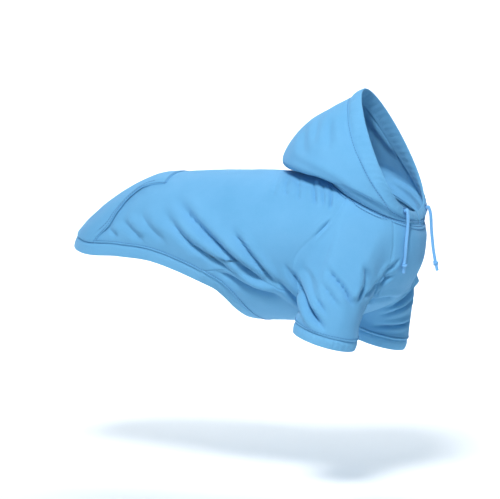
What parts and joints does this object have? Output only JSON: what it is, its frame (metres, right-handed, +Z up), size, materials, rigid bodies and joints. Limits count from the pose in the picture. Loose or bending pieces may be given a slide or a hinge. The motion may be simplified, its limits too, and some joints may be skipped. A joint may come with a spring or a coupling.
{
  "type": "dog hoodie",
  "caption": "Short-sleeved knitted hoodie for a small dog, with a hood worn down, drawcords, a pocket over the rump and a ribbed hem, held in its worn shape.",
  "frame": {"origin": "inside of the back panel at the withers, on the middle plane, where the garment rests on its wearer", "axes": "+X forward along the back to the neck, +Y to the wearer's left, +Z up"},
  "size_m": [0.4845, 0.2214, 0.3271],
  "materials": {
    "jersey": "sky blue cotton-blend jersey, smooth face out, brushed inside",
    "band": "sky blue jersey, folded double, with twin-needle stitching",
    "cord": "sky blue braided cord and satin-stitched eyelets"
  },
  "bodies": {
    "root": {"back_panel": "jersey", "chest_panel": "jersey", "sleeve_right": "jersey", "sleeve_left": "jersey", "cuff_right": "band", "cuff_left": "band", "hood": "jersey", "hood_tunnel": "jersey", "hem_band": "band", "pocket": "jersey", "eyelet_right": "cord", "eyelet_left": "cord", "drawcord_right": "cord", "drawcord_left": "cord"}
  },
  "joints": []
}
